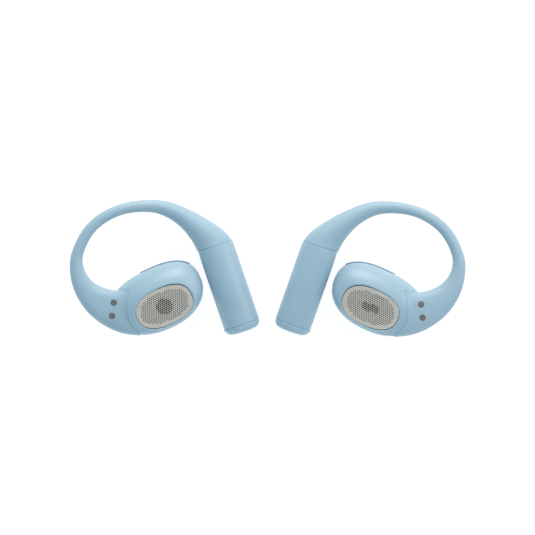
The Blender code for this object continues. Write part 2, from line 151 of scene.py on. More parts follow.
def spunPiece(name, profile, place, steps):
    # a profile in radius and height, spun all the way round
    bm = bmesh.new()
    verts = [bm.verts.new((radius, 0.0, height)) for radius, height in profile]
    edges = [bm.edges.new(pair) for pair in zip(verts, verts[1:])]
    if profile[0][0] > 0:
        edges.append(bm.edges.new((verts[-1], verts[0])))
    bmesh.ops.spin(bm, geom=verts + edges, cent=(0, 0, 0), axis=(0, 0, 1), angle=2 * math.pi,
                   steps=steps, use_merge=True)
    bmesh.ops.remove_doubles(bm, verts=bm.verts, dist=0.0001)
    return finished(bm, name, place)


def carve(piece, cutter, operation="DIFFERENCE"):
    modifier = piece.modifiers.new("carve", "BOOLEAN")
    modifier.operation = operation
    modifier.solver = "EXACT"
    modifier.object = cutter
    bpy.context.view_layer.update()
    graph = bpy.context.evaluated_depsgraph_get()
    mesh = bpy.data.meshes.new_from_object(piece.evaluated_get(graph))
    piece.modifiers.clear()
    piece.data = mesh
    smoothShade(piece)


def discard(*pieces):
    for piece in pieces:
        bpy.data.objects.remove(piece, do_unlink=True)


def mirrored(piece, name):
    bm = bmesh.new()
    bm.from_mesh(piece.data)
    bmesh.ops.scale(bm, vec=(-1, 1, 1), verts=bm.verts)
    bmesh.ops.reverse_faces(bm, faces=bm.faces)
    mesh = bpy.data.meshes.new(name)
    bm.to_mesh(mesh)
    bm.free()
    return addPiece(name, mesh)


def roundedCorner(x, y, radius, start, end, steps=5):
    # points of a corner in a profile, angles in degrees
    points = []
    for k in range(steps + 1):
        turn = math.radians(start + (end - start) * k / steps)
        points.append((x + radius * math.cos(turn), y + radius * math.sin(turn)))
    return points


# Camera, floor and light
studio = {
    "lens": 200.0, "sensor": 36.0, "viewWidth": 144.35, "aimX": -0.03, "aimY": 0.25, "aimZ": 7.0,
    "roll": 0.32, "floorHalf": 0.9, "floorDrop": 0.05, "floorColour": (0.2, 0.2, 0.2), "floorGlow": 0.88,
    "worldColour": (0.83, 1.0, 1.11), "worldStrength": 0.63,
}
studioLights = [
    # name, place, width, height, power, colour
    ("highLight", (0.0, 0.5, 0.25), 0.4, 0.4, 3.25, (1.0, 0.8, 0.66)),
    ("sideLight", (0.5, 0.1, 0.3), 0.4, 0.4, 1.05, (1.0, 0.8, 0.75)),
    ("lowLight", (0.0, -0.5, 0.3), 0.4, 0.4, 0.6, (1.0, 0.75, 0.5)),
]


def makeStudio():
    scene = bpy.context.scene
    scene.view_settings.view_transform = "Standard"
    distance = studio["viewWidth"] * studio["lens"] / studio["sensor"]
    data = bpy.data.cameras.new("camera")
    data.lens = studio["lens"]
    data.sensor_width = studio["sensor"]
    data.clip_start = 0.01
    data.clip_end = 10.0
    camera = bpy.data.objects.new("camera", data)
    camera.location = Vector((studio["aimX"], studio["aimY"], studio["aimZ"] + distance)) * mm
    camera.rotation_euler.z = math.radians(studio["roll"])
    scene.collection.objects.link(camera)
    scene.camera = camera

    half = studio["floorHalf"]
    bm = bmesh.new()
    bmesh.ops.create_grid(bm, x_segments=2, y_segments=2, size=half)
    mesh = bpy.data.meshes.new("floor")
    bm.to_mesh(mesh)
    bm.free()
    floor = bpy.data.objects.new("floor", mesh)
    floor.location.z = -studio["floorDrop"] * mm
    scene.collection.objects.link(floor)
    floor.data.materials.append(plainPaint("floorPaper", studio["floorColour"], studio["floorGlow"]))

    world = bpy.data.worlds.new("studioWorld")
    world.use_nodes = True
    background = world.node_tree.nodes["Background"]
    background.inputs["Color"].default_value = (*studio["worldColour"], 1.0)
    background.inputs["Strength"].default_value = studio["worldStrength"]
    scene.world = world

    for name, place, width, height, power, colour in studioLights:
        light = bpy.data.lights.new(name, "AREA")
        light.shape = "RECTANGLE"
        light.size = width
        light.size_y = height
        light.energy = power
        light.color = colour
        lamp = bpy.data.objects.new(name, light)
        lamp.location = place
        lamp.rotation_euler = (-Vector(place)).to_track_quat("-Z", "Y").to_euler()
        scene.collection.objects.link(lamp)
    print("studio ready")


def newMaterial(name):
    material = bpy.data.materials.new(name)
    material.use_nodes = True
    nodes = material.node_tree.nodes
    return material, nodes, material.node_tree.links, nodes["Principled BSDF"]


def plainPaint(name, colour, glow):
    material, nodes, links, shader = newMaterial(name)
    coordinates = nodes.new("ShaderNodeTexCoord")
    noise = nodes.new("ShaderNodeTexNoise")
    noise.inputs["Scale"].default_value = 6.0
    ramp = nodes.new("ShaderNodeValToRGB")
    ramp.color_ramp.elements[0].color = (*[c * 0.985 for c in colour], 1.0)
    ramp.color_ramp.elements[1].color = (*colour, 1.0)
    links.new(coordinates.outputs["Object"], noise.inputs["Vector"])
    links.new(noise.outputs["Fac"], ramp.inputs["Fac"])
    links.new(ramp.outputs["Color"], shader.inputs["Base Color"])
    shader.inputs["Roughness"].default_value = 0.9
    shader.inputs["Specular IOR Level"].default_value = 0.1
    shader.inputs["Emission Color"].default_value = (1.0, 1.0, 1.0, 1.0)
    shader.inputs["Emission Strength"].default_value = glow
    return material


finishes = {
    # dark and light colour, patch size mm, grain size mm, bump mm, roughness low and high, metallic
    "blueShell": {"dark": (0.268, 0.434, 0.545), "light": (0.3, 0.464, 0.57), "patch": 9.0,
                  "grain": 0.12, "bump": 0.006, "rough": (0.36, 0.44), "metal": 0.0},
    "blueSilicone": {"dark": (0.26, 0.42, 0.53), "light": (0.29, 0.45, 0.555), "patch": 12.0,
                     "grain": 0.09, "bump": 0.005, "rough": (0.48, 0.58), "metal": 0.0, "sheen": 0.25},
    # the key's darker blue is painted shade: it stands in for the dark shadowed line along the pod's top
    # edge
    "blueKeyPaintedShade": {"dark": (0.115, 0.235, 0.37), "light": (0.145, 0.275, 0.42), "patch": 6.0,
                "grain": 0.12, "bump": 0.006, "rough": (0.38, 0.46), "metal": 0.0},
    "clothBlack": {"dark": (0.015, 0.015, 0.015), "light": (0.045, 0.045, 0.043), "patch": 0.25,
                   "grain": 0.1, "bump": 0.03, "rough": (0.85, 0.95), "metal": 0.0, "weave": 0.2},
    "foamBlack": {"dark": (0.03, 0.03, 0.03), "light": (0.07, 0.07, 0.07), "patch": 1.2,
                  "grain": 0.25, "bump": 0.08, "rough": (0.9, 1.0), "metal": 0.0, "cells": True},
    "frameBlack": {"dark": (0.018, 0.018, 0.02), "light": (0.03, 0.03, 0.032), "patch": 4.0,
                   "grain": 0.15, "bump": 0.01, "rough": (0.4, 0.55), "metal": 0.0},
    "filmClear": {"dark": (0.5, 0.49, 0.42), "light": (0.6, 0.59, 0.52), "patch": 3.0,
                  "grain": 0.4, "bump": 0.01, "rough": (0.2, 0.3), "metal": 0.0},
    "copperWire": {"dark": (0.5, 0.2, 0.08), "light": (0.72, 0.34, 0.17), "patch": 1.0,
                   "grain": 0.15, "bump": 0.02, "rough": (0.25, 0.4), "metal": 1.0},
    "nickelPlate": {"dark": (0.42, 0.42, 0.44), "light": (0.55, 0.55, 0.56), "patch": 2.5,
                    "grain": 0.2, "bump": 0.004, "rough": (0.15, 0.3), "metal": 1.0},
    "steelSheet": {"dark": (0.38, 0.38, 0.39), "light": (0.5, 0.5, 0.51), "patch": 2.0,
                   "grain": 0.08, "bump": 0.006, "rough": (0.28, 0.42), "metal": 1.0},
    "boardGreen": {"dark": (0.012, 0.07, 0.035), "light": (0.03, 0.15, 0.07), "patch": 1.5,
                   "grain": 0.4, "bump": 0.02, "rough": (0.35, 0.5), "metal": 0.0, "cells": True},
    "chipBlack": {"dark": (0.012, 0.012, 0.013), "light": (0.025, 0.025, 0.026), "patch": 2.0,
                  "grain": 0.08, "bump": 0.006, "rough": (0.5, 0.62), "metal": 0.0},
    "cableRed": {"dark": (0.25, 0.015, 0.01), "light": (0.38, 0.03, 0.02), "patch": 2.0,
                 "grain": 0.3, "bump": 0.01, "rough": (0.4, 0.5), "metal": 0.0},
    "cellWrap": {"dark": (0.03, 0.09, 0.26), "light": (0.05, 0.13, 0.33), "patch": 4.0,
                 "grain": 0.5, "bump": 0.015, "rough": (0.25, 0.38), "metal": 0.0},
    "contactMetal": {"dark": (0.17, 0.162, 0.155), "light": (0.25, 0.24, 0.23), "patch": 0.8,
                     "grain": 0.06, "bump": 0.004, "rough": (0.3, 0.42), "metal": 0.75},
    "grilleGrey": {"dark": (0.47, 0.47, 0.44), "light": (0.52, 0.515, 0.485), "patch": 3.0,
                   "grain": 0.07, "bump": 0.004, "rough": (0.36, 0.46), "metal": 0.25},
}


def noiseNode(nodes, links, source, sizeMm, detail=2.0):
    noise = nodes.new("ShaderNodeTexNoise")
    noise.inputs["Scale"].default_value = 1.0 / (sizeMm * mm)
    noise.inputs["Detail"].default_value = detail
    links.new(source, noise.inputs["Vector"])
    return noise


def makeFinish(name):
    look = finishes[name]
    material, nodes, links, shader = newMaterial(name)
    coordinates = nodes.new("ShaderNodeTexCoord").outputs["Object"]
    patches = noiseNode(nodes, links, coordinates, look["patch"])
    ramp = nodes.new("ShaderNodeValToRGB")
    ramp.color_ramp.elements[0].position = 0.3
    ramp.color_ramp.elements[0].color = (*look["dark"], 1.0)
    ramp.color_ramp.elements[1].position = 0.7
    ramp.color_ramp.elements[1].color = (*look["light"], 1.0)
    links.new(patches.outputs["Fac"], ramp.inputs["Fac"])
    links.new(ramp.outputs["Color"], shader.inputs["Base Color"])

    if look.get("cells"):
        grain = nodes.new("ShaderNodeTexVoronoi")
        grain.inputs["Scale"].default_value = 1.0 / (look["grain"] * mm)
        links.new(coordinates, grain.inputs["Vector"])
        height = grain.outputs["Distance"]
    elif look.get("weave"):
        height = weaveHeight(nodes, links, coordinates, look["weave"])
    else:
        height = noiseNode(nodes, links, coordinates, look["grain"], 3.0).outputs["Fac"]
    bump = nodes.new("ShaderNodeBump")
    bump.inputs["Distance"].default_value = look["bump"] * mm
    bump.inputs["Strength"].default_value = 0.6
    links.new(height, bump.inputs["Height"])
    links.new(bump.outputs["Normal"], shader.inputs["Normal"])

    rough = nodes.new("ShaderNodeMapRange")
    rough.inputs["To Min"].default_value, rough.inputs["To Max"].default_value = look["rough"]
    links.new(patches.outputs["Fac"], rough.inputs["Value"])
    links.new(rough.outputs["Result"], shader.inputs["Roughness"])
    shader.inputs["Metallic"].default_value = look["metal"]
    if look.get("sheen"):
        shader.inputs["Sheen Weight"].default_value = look["sheen"]
        shader.inputs["Sheen Roughness"].default_value = 0.4
    return material


def weaveHeight(nodes, links, coordinates, pitchMm):
    waves = []
    for direction in ("X", "Y"):
        wave = nodes.new("ShaderNodeTexWave")
        wave.bands_direction = direction
        wave.inputs["Scale"].default_value = 0.31 / (pitchMm * mm)
        links.new(coordinates, wave.inputs["Vector"])
        waves.append(wave)
    blend = nodes.new("ShaderNodeMath")
    blend.operation = "MAXIMUM"
    links.new(waves[0].outputs["Fac"], blend.inputs[0])
    links.new(waves[1].outputs["Fac"], blend.inputs[1])
    return blend.outputs[0]


# Pod: a cup, and a cover with the opening for the grille
pod = {
    "swing": -26.0, "grilleOffset": (0.13, 0.15), "wall": 1.0, "count": 112, "stepsPerLevel": 7,
    "parting": 6.0, "partingGap": 0.08, "bowShare": 0.6,
    # centre x, y, z, half length, half width, power of the oval, tilt, yaw, egg, bow
    "cup": [
        (0.3, 2.42, 0.0, 8.6, 5.05, 2.2, 0.0, 0.85, -0.016, 0.7),
        (0.5, 2.52, 0.45, 10.2, 6.4, 2.25, 0.0, 0.85, -0.016, 0.82),
        (0.7, 2.55, 1.7, 11.75, 7.6, 2.33, 0.0, 0.85, -0.016, 0.92),
        (0.8, 2.55, 3.6, 12.62, 8.33, 2.33, 0.0, 0.85, -0.016, 0.98),
        (0.8, 2.55, 6.0, 12.86, 8.49, 2.33, 0.0, 0.85, -0.016, 1.0),
    ],
    "cover": [
        (0.8, 2.55, 6.0, 12.86, 8.49, 2.33, 0.0, 0.85, -0.016, 1.0),
        (0.77, 2.41, 7.7, 12.68, 8.37, 2.33, 3.4, 0.8, -0.015, 0.92),
        (0.62, 1.82, 9.45, 11.8, 7.74, 2.33, 8.5, 0.5, -0.01, 0.6),
        (0.3, 0.97, 10.75, 10.15, 6.68, 2.35, 13.4, 0.2, 0.0, 0.2),
        (-0.02, 0.01, 11.3, 8.5, 5.7, 2.4, 17.2, 0.0, 0.0, 0.0),
    ],
    "lip": [(8.2, 5.42, -0.02), (8.09, 5.33, -0.06), (8.04, 5.28, -0.14), (8.04, 5.28, -1.0)],
}
# The oval line where the hook's base meets the cover, seen from above
seam = {
    "centre": (24.0, -9.58), "half": (13.5, 10.47), "power": 3.05, "swing": 7.1, "gap": 0.05,
    "sides": 240, "heights": (-3, 22),
}
podTurn = turned(pod["swing"], "Z")
grilleMiddle = middleOf("left_speaker_grille")
podOrigin = grilleMiddle - podTurn.to_3x3() @ (Vector((*pod["grilleOffset"], 0.0)) * mm)
podPlace = at(podOrigin.x / mm, podOrigin.y / mm) @ podTurn

driver = {"height": 11.3, "yaw": 2.2, "tilt": 17.2, "power": 2.4}
driverPlace = podPlace @ at(*pod["cover"][-1][:2], driver["height"])
driverPlace = driverPlace @ turned(driver["yaw"], "Z") @ turned(driver["tilt"], "X")


def podRing(levels, t, inset=0.0, drop=0.0, lift=0.0, count=None):
    x, y, z, halfX, halfY, power, tilt, yaw, egg, bow = smoothRow(levels, t)
    place = Matrix.Translation((x, y, z + lift)) @ turned(yaw, "Z") @ turned(tilt, "X")
    place = place @ Matrix.Translation((0, 0, -drop))
    points = ovalPoints(halfX - inset, halfY - inset, power, count or pod["count"], egg, bow)
    return [place @ point for point in points]


def lipRing(halfX, halfY, z):
    x, y, height, _, _, power, tilt = pod["cover"][-1][:7]
    place = Matrix.Translation((x, y, height)) @ turned(tilt, "X")
    return [place @ (point + Vector((0, 0, z))) for point in ovalPoints(halfX, halfY, power, pod["count"])]


def makePodShells():
    steps = pod["stepsPerLevel"]
    last = len(pod["cup"]) - 1
    gap = pod["partingGap"] / 2
    stops = [k / steps for k in range(last * steps + 1)]
    outside = [podRing(pod["cup"], t, lift=-gap * t / last) for t in stops]
    inside = []
    for t in (k / 2 for k in range(2 * last, -1, -1)):
        z = smoothRow(pod["cup"], t)[2]
        lift = pod["wall"] * (1 - z / pod["parting"]) - gap * t / last
        inside.append(podRing(pod["cup"], t, inset=pod["wall"], lift=lift))
    cup = growRings("left_pod_cup", outside + inside, place=podPlace)

    last = len(pod["cover"]) - 1
    stops = [k / steps for k in range(last * steps + 1)]
    outside = [podRing(pod["cover"], t, lift=gap * (1 - t / last)) for t in stops]
    lip = [lipRing(*row) for row in pod["lip"]]
    inside = []
    for t in (k / 2 for k in range(2 * last - 2, -1, -1)):
        inside.append(podRing(pod["cover"], t, inset=pod["wall"], drop=pod["wall"] * t / last, lift=gap))
    cover = growRings("left_pod_cover", outside + lip + inside, joined=True, place=podPlace)
    return cup, cover


# Grille plate, and the cloth behind it
grille = {
    "half": (7.92, 5.18), "top": -0.04, "thick": 0.3, "soften": 0.03, "rimSides": 120,
    "zone": (6.75, 4.1), "rows": 12, "columns": 14, "pitch": 0.58, "holeRadius": 0.172, "holeSides": 12,
    # plain side marks of wider holes: a bar on the left plate and a dot on the right one
    "markRadius": 0.25, "bar": {"core": 1.5, "reach": 1.0}, "dot": {"core": 0.0, "reach": 2.2},
    "clothHalf": (7.7, 4.95), "clothTop": -0.5, "clothThick": 0.12, "clothSides": 72,
}


def polySpline(curve, points):
    spline = curve.splines.new("POLY")
    spline.points.add(len(points) - 1)
    for item, point in zip(spline.points, points):
        item.co = (point[0] * mm, point[1] * mm, 0.0, 1.0)
    spline.use_cyclic_u = True


def holePlaces():
    # a hexagonal lattice whose rows run with the object's Y
    row = grille["pitch"] * math.sqrt(3) / 2
    swing = Matrix.Rotation(-math.radians(pod["swing"] + driver["yaw"]), 2)
    zoneX, zoneY = grille["zone"]
    places = []
    for i in range(-grille["rows"], grille["rows"] + 1):
        for j in range(-grille["columns"], grille["columns"] + 1):
            place = swing @ Vector((i * row, (j + 0.5 * (i % 2)) * grille["pitch"]))
            if abs(place.x / zoneX) ** driver["power"] + abs(place.y / zoneY) ** driver["power"] < 1:
                places.append(place)
    return places


def curveMesh(name, curve, place):
    # a filled flat curve as a closed mesh, with its place applied
    guide = bpy.data.objects.new(name, curve)
    bpy.context.scene.collection.objects.link(guide)
    bpy.context.view_layer.update()
    graph = bpy.context.evaluated_depsgraph_get()
    mesh = bpy.data.meshes.new_from_object(guide.evaluated_get(graph))
    discard(guide)
    bm = bmesh.new()
    bm.from_mesh(mesh)
    bmesh.ops.remove_doubles(bm, verts=bm.verts, dist=0.000002)
    bmesh.ops.transform(bm, matrix=place, verts=bm.verts)
    bmesh.ops.recalc_face_normals(bm, faces=bm.faces)
    bm.to_mesh(mesh)
    bm.free()
    return addPiece(name, mesh)


def makeGrille(name, mark):
    soften = grille["soften"]
    curve = bpy.data.curves.new("grillePlate", "CURVE")
    curve.dimensions = "2D"
    curve.fill_mode = "BOTH"
    curve.bevel_depth = soften * mm
    curve.bevel_resolution = 1
    curve.extrude = (grille["thick"] / 2 - soften) * mm
    halfX, halfY = grille["half"]
    polySpline(curve, ovalPoints(halfX - soften, halfY - soften, driver["power"], grille["rimSides"]))
    for place in holePlaces():
        nearest = max(-mark["core"], min(place.x, mark["core"]))
        marked = (place - Vector((nearest, 0))).length < mark["reach"]
        radius = (grille["markRadius"] if marked else grille["holeRadius"]) + soften
        hole = []
        for k in range(grille["holeSides"]):
            turn = -2 * math.pi * k / grille["holeSides"]
            hole.append((place.x + radius * math.cos(turn), place.y + radius * math.sin(turn)))
        polySpline(curve, hole)
    middle = grille["top"] - grille["thick"] / 2
    return curveMesh(name, curve, driverPlace @ at(0, 0, middle))


def makeCloth():
    rings = []
    halfX, halfY = grille["clothHalf"]
    for z in (grille["clothTop"] - grille["clothThick"], grille["clothTop"]):
        points = ovalPoints(halfX, halfY, driver["power"], grille["clothSides"])
        rings.append([point + Vector((0, 0, z)) for point in points])
    return growRings("left_grille_cloth", rings, place=driverPlace)


# Hook: one soft sleeve with two wires inside
hook = {
    # inner edge x, y, outer edge x, y, height, half depth and power of the section, from pod to stem
    "stations": [
        (36.4, -5.6, 34.3, -18.28, 7.45, 3.75, 3.2), (38.5, -5.9, 38.4, -17.98, 7.4, 3.6, 3.2),
        (40.7, -6.25, 43.1, -16.25, 7.35, 3.3, 3.0), (43.6, -5.7, 47.7, -13.05, 7.4, 2.95, 2.7),
        (46.4, -4.4, 50.9, -8.9, 7.6, 2.5, 2.4), (48.7, -2.1, 52.8, -4.45, 7.9, 2.05, 2.2),
        (49.85, 1.0, 53.35, 0.05, 8.3, 1.8, 2.0), (49.57, 4.2, 52.9, 4.2, 8.7, 1.66, 2.0),
        (46.84, 9.42, 49.54, 10.98, 9.35, 1.56, 2.0), (42.7, 12.69, 44.22, 15.32, 9.6, 1.55, 2.0),
        (37.8, 14.7, 37.8, 17.77, 9.5, 1.58, 2.0), (31.55, 15.03, 30.3, 18.4, 9.0, 1.9, 2.0),
        (28.0, 14.03, 25.9, 17.7, 8.5, 2.3, 2.0), (24.9, 12.2, 21.9, 16.1, 7.9, 2.85, 2.0),
        (22.5, 10.0, 17.6, 14.0, 7.3, 3.5, 2.0), (20.62, 7.55, 13.15, 11.2, 6.75, 4.15, 2.0),
        (19.72, 6.02, 10.9, 9.3, 6.45, 4.5, 2.0), (18.98, 4.57, 9.8, 7.73, 6.31, 4.78, 2.0),
    ],
    "count": 56, "stepsPerStation": 9, "easing": 24,
    "lean": 3.5, "leanReach": 3, "tip": 1.8, "tipReach": 4,
    "bore": 0.95, "baseWall": 1.15, "stemWall": 2.6, "boreStep": 3,
    # how far the edge at the stem is set back and drawn in
    "endRounding": ((0.07, 0.0), (0.02, 0.02), (0.0, 0.06)),
    # how the base follows the cover beside it
    "flushReach": 1.0, "flushEdge": 0.4, "edgeReach": 1.8, "sinkReach": 1.4,
    # the room that the cover leaves for the base, and the sleeve for the cup
    "blockGap": 0.04, "blockGrow": 1.5, "blockLift": 2.5, "blockSteps": 16,
    "cupGap": 0.06, "cupLift": 0.1, "cupSides": 80,
    "wireOffset": 0.45, "wireRadius": 0.35, "cableRadius": 0.3, "wireStart": 2.6, "wirePoints": 60,
    "wireTail": 0.9,
    "bendHalf": 4.0, "bendDirection": (0.75, -0.66, 0.0),
}
hookEnd = len(hook["stations"]) - 1


def easedRows(rows):
    # the rows between the stations, with small unevenness eased out
    steps = hook["stepsPerStation"]
    fine = [smoothRow(rows, k / steps) for k in range((len(rows) - 1) * steps + 1)]
    for _ in range(hook["easing"]):
        eased = [[(a + 2 * b + c) / 4 for a, b, c in zip(*near)] for near in zip(fine, fine[1:], fine[2:])]
        fine = [fine[0], *eased, fine[-1]]
    return fine


hookRows = easedRows(hook["stations"])


def hookAxes(t):
    innerX, innerY, outerX, outerY, z, halfDepth, power = smoothRow(hookRows, t * hook["stepsPerStation"])
    # the base tips with the cover beside it
    share = max(0.0, 1 - t / hook["tipReach"])
    tip = hook["tip"] * share * share * (3 - 2 * share) / 2
    inner = Vector((innerX, innerY, z + tip))
    outer = Vector((outerX, outerY, z - tip))
    across = (outer - inner).normalized()
    lean = hook["lean"] * max(0.0, 1 - (hookEnd - t) / hook["leanReach"])
    depth = Matrix.Rotation(math.radians(-lean), 3, across) @ Vector((0, 0, 1))
    return (inner + outer) / 2, across, depth, (outer - inner).length / 2, halfDepth, power


def hookRing(t, growInner=0.0, growOuter=0.0, growDepth=0.0, inset=0.0, push=0.0):
    centre, across, depth, halfWidth, halfDepth, power = hookAxes(t)
    centre = centre + across * (growOuter - growInner) / 2 + across.cross(depth) * push
    halfWidth += (growOuter + growInner) / 2 - inset
    points = ovalPoints(halfWidth, halfDepth + growDepth - inset, power, hook["count"])
    return [centre + across * p.x + depth * p.y for p in points]


def boreRing(t):
    centre, across, depth, halfWidth, halfDepth, _ = hookAxes(t)
    wall = hook["baseWall"] if t < hookEnd / 2 else hook["stemWall"]
    halfX = max(hook["bore"], halfWidth - wall)
    halfY = max(hook["bore"], halfDepth - wall)
    return [centre + across * p.x + depth * p.y for p in ovalPoints(halfX, halfY, 2.0, hook["count"])]


def blockRing(t):
    # what the cover gives up: the sleeve's own shape, and all that lies above it
    gap = hook["blockGap"]
    centre, _, depth, _, _, _ = hookAxes(t)
    points = hookRing(t, growInner=gap, growOuter=hook["blockGrow"], growDepth=gap)
    for point in points:
        if (point - centre).dot(depth) > -0.01:
            point += depth * hook["blockLift"]
    return points


def pastSeam(point):
    # how far a point in millimetres lies outside the seam
    local = Matrix.Rotation(-math.radians(seam["swing"]), 2) @ (point.xy - Vector(seam["centre"]))
    halfX, halfY = seam["half"]
    power = seam["power"]
    size = (abs(local.x / halfX) ** power + abs(local.y / halfY) ** power) ** (1 / power)
    return local.length * (1 - 1 / size)


def flushWithCover(rings, cover):
    # near the seam the sleeve's face takes the height of the cover beside it
    tree = BVHTree.FromObject(cover, bpy.context.evaluated_depsgraph_get())
    above = 30.0
    lowest = hook["stations"][0][4] - 0.01       # only the face is moved, not the underside
    for points in rings:
        ends = (points[0].copy(), points[len(points) // 2].copy())
        for point in points:
            beyond = pastSeam(point)
            weight = 1 - max(0.0, min(beyond / hook["flushReach"], 1.0))
            edge = min((point.xy - end.xy).length for end in ends)
            weight *= max(0.0, min((edge - hook["flushEdge"]) / hook["edgeReach"], 1.0))
            hit = tree.ray_cast(Vector((point.x, point.y, above)) * mm, Vector((0, 0, -1)))[0]
            if not hit or point.z < lowest:
                continue
            rise = hit.z / mm - point.z
            weight *= max(0.0, 1 + rise / hook["sinkReach"])
            point.z += rise if rise > 0 else rise * weight * weight * (3 - 2 * weight)
    return rings


def makeSleeve(cover):
    steps = hook["stepsPerStation"] * hookEnd
    stops = [hookEnd * k / steps for k in range(steps + 1)]
    rings = flushWithCover([hookRing(t) for t in stops[:-1]], cover)
    # a fine rounded edge where the sleeve meets the stem
    for back, inset in hook["endRounding"]:
        rings.append(hookRing(hookEnd, inset=inset, push=back))
    rings += [boreRing(t) for t in reversed(stops[::hook["boreStep"]])]
    sleeve = growRings("left_hook_sleeve", rings, joined=True)

    wide = seamDrum(seam["gap"] / 2)
    carve(sleeve, wide)
    last = len(pod["cup"]) - 1
    inset, count = -hook["cupGap"], hook["cupSides"]
    shape = [podRing(pod["cup"], k / 2, inset=inset, count=count) for k in range(1, 2 * last + 1)]
    shape.append(podRing(pod["cup"], last, inset=inset, lift=hook["cupLift"], count=count))
    cupCutter = growRings("cupCutter", shape, place=podPlace)
    carve(sleeve, cupCutter)

    block = growRings("baseCutter", [blockRing(k / 4) for k in range(hook["blockSteps"] + 1)])
    narrow = seamDrum(-seam["gap"] / 2)
    carve(block, narrow)
    carve(cover, block)
    discard(wide, cupCutter, block, narrow)
    return sleeve


def seamDrum(grow):
    halfX, halfY = seam["half"]
    points = ovalPoints(halfX + grow, halfY + grow, seam["power"], seam["sides"])
    rings = [[point + Vector((0, 0, z)) for point in points] for z in seam["heights"]]
    return growRings("seamDrum", rings, place=at(*seam["centre"]) @ turned(seam["swing"], "Z"))


def makeWire(name, offset, radius):
    # a wire in the sleeve's bore, from inside the base to just inside the stem
    curve = bpy.data.curves.new(name, "CURVE")
    curve.dimensions = "3D"
    curve.bevel_depth = radius * mm
    curve.bevel_resolution = 3
    curve.use_fill_caps = True
    count = hook["wirePoints"]
    spline = curve.splines.new("POLY")
    spline.points.add(count)
    for k in range(count):
        t = hook["wireStart"] + (hookEnd - hook["wireStart"]) * k / (count - 1)
        centre, across, _, _, _, _ = hookAxes(t)
        spline.points[k].co = (*((centre + across * offset) * mm), 1.0)
    spline.points[count].co = (*(stemPlace @ (Vector((-offset, 0.0, -hook["wireTail"])) * mm)), 1.0)
    return curveMesh(name, curve, Matrix.Identity(4))


# Charging pads on the hook's base
contacts = {
    "radius": 0.86, "proud": 0.02, "depth": 1.6, "round": 0.07, "gap": 0.03, "nudge": (-0.24, 0.06, 0.0),
    "dish": ((0.0, 0.05), (0.35, 0.047), (0.6, 0.03)), "cutTop": 2.0, "cutBottom": -1.9, "sides": 64,
    "upper": "left_charging_contact_upper", "lower": "left_charging_contact_lower",
}


def makeContacts(sleeve):
    tree = BVHTree.FromObject(sleeve, bpy.context.evaluated_depsgraph_get())
    pads = []
    for name in ("upper", "lower"):
        centre = middleOf(contacts[name]) + Vector(contacts["nudge"]) * mm
        hit, normal, _, _ = tree.ray_cast(centre + Vector((0, 0, 20 * mm)), Vector((0, 0, -1)))
        place = Matrix.Translation(hit) @ normal.to_track_quat("Z", "Y").to_matrix().to_4x4()
        radius, soft, top = contacts["radius"], contacts["round"], contacts["proud"]
        profile = [(x, top - sunk) for x, sunk in contacts["dish"]] + [(radius - soft, top)]
        profile += [(radius - soft + x, top - soft + y) for x, y in roundedCorner(0, 0, soft, 90, 0, 4)[1:]]
        profile += [(radius, top - contacts["depth"]), (0.0, top - contacts["depth"])]
        pads.append(spunPiece(f"left_contact_pad_{name}", profile, place, steps=contacts["sides"]))
        wide, high, low = radius + contacts["gap"], contacts["cutTop"], contacts["cutBottom"]
        hole = [(0.0, high), (wide, high), (wide, low), (0.0, low)]
        cutter = spunPiece("padCutter", hole, place, steps=contacts["sides"])
        carve(sleeve, cutter)
        discard(cutter)
    return pads


# Control key on the pod's edge, in a pocket of its own
key = {
    "angles": (85.6, 154.0), "length": 14.2, "height": 5.3, "halfDepth": 2.1, "proud": 0.19,
    "thick": 1.5, "round": 0.22, "steps": 40, "endRound": 0.95, "blunt": 0.14,
    # the pocket: gap round the key, more degrees at its ends, room behind, flare outward
    "gap": 0.12, "endGap": 2.0, "behind": 1.2, "flare": 6,
}


def podEdge(degrees, outward, height):
    x, y, _, halfX, halfY, power, _, yaw, egg, bow = pod["cup"][-1]
    near = [ovalPoint(math.radians(degrees + d), halfX, halfY, power, egg, bow) for d in (-0.5, 0.0, 0.5)]
    normal = (near[2] - near[0]).cross(Vector((0, 0, 1))).normalized()
    return Vector((x, y, height)) + turned(yaw, "Z").to_3x3() @ (near[1] + normal * outward)


def keyShape(name, grow=0.0, behind=0.0):
    first, last = key["angles"]
    spread = key["endGap"] if grow else 0.0
    soft = key["round"]
    front = key["proud"] + grow * key["flare"]
    back = key["proud"] - key["thick"] - behind
    rings = []
    for k in range(key["steps"] + 1):
        share = k / key["steps"]
        degrees = first - spread + (last - first + 2 * spread) * share
        # round ends, seen from the side
        reach = min(share, 1 - share) * key["length"]
        end = 1 - min(reach / (key["halfDepth"] * key["endRound"]), 1.0)
        rounded = math.sqrt(max(1 - end * end, 0.0)) * (1 - key["blunt"]) + key["blunt"]
        half = key["halfDepth"] * rounded + grow
        section = [(back, -half), (back, half)]
        section += [(front - soft + a, half - soft + b) for a, b in roundedCorner(0, 0, soft, 90, 0)]
        section += [(front - soft + a, -half + soft + b) for a, b in roundedCorner(0, 0, soft, 0, -90)]
        rings.append([podEdge(degrees, out, key["height"] + up) for out, up in section])
    return growRings(name, rings, place=podPlace)


def makeKey(cup, cover):
    pocket = keyShape("keyPocket", grow=key["gap"], behind=key["behind"])
    carve(cup, pocket)
    carve(cover, pocket)
    discard(pocket)
    return keyShape("left_control_key_cap")


